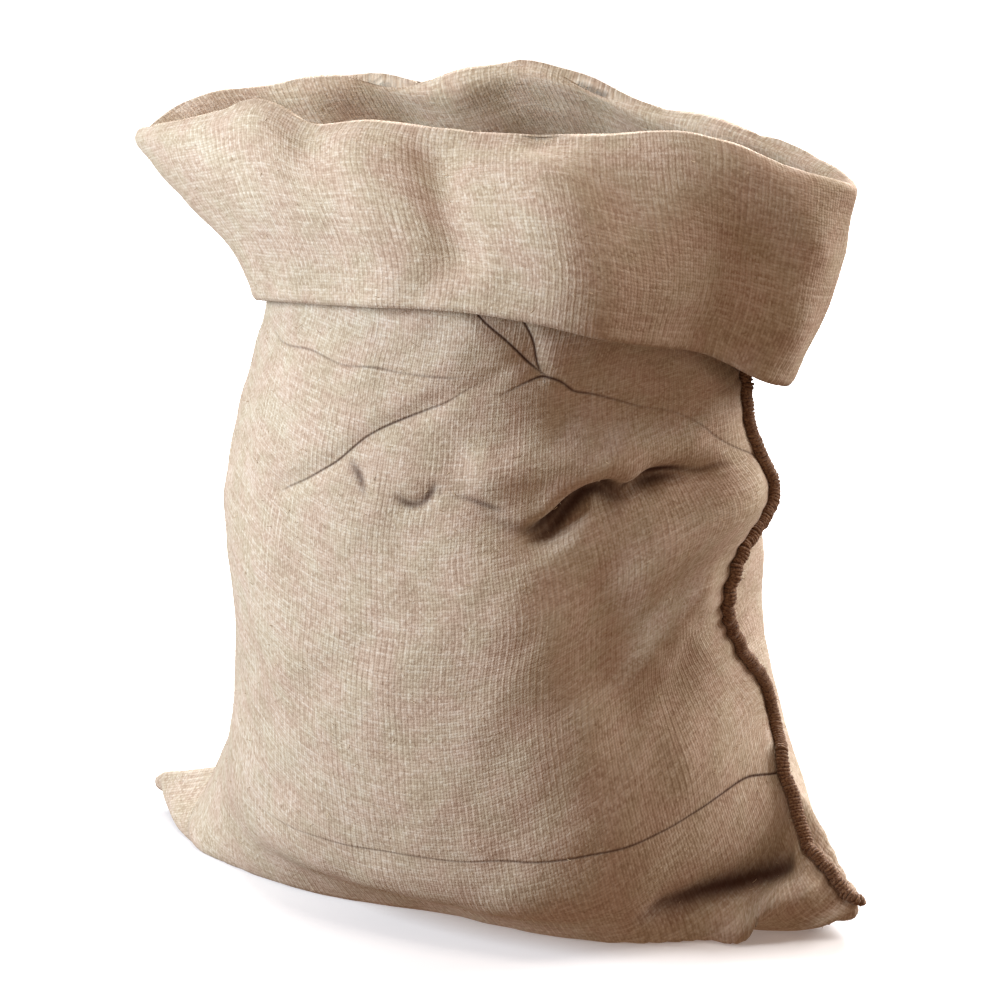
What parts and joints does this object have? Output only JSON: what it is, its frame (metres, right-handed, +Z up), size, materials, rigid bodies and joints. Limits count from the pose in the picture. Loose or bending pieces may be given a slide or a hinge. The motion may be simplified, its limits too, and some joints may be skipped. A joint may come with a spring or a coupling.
{
  "type": "burlap sack",
  "caption": "Empty woven jute sack standing open, with its mouth turned out into a deep cuff and an overcast seam down one side.",
  "frame": {"origin": "on the floor, under the middle of the sack's box", "axes": "+X to the sewn side, +Y to the back, +Z up to the open mouth"},
  "size_m": [0.6164, 0.3766, 0.6078],
  "materials": {
    "hessian": "loose plain weave of undyed jute, matt, with slubs",
    "seam_thread": "dark brown jute twine, closely overcast, matt"
  },
  "bodies": {
    "root": {"sack_cloth": "hessian", "side_seam": "seam_thread", "bottom_seam": "seam_thread"}
  },
  "joints": []
}
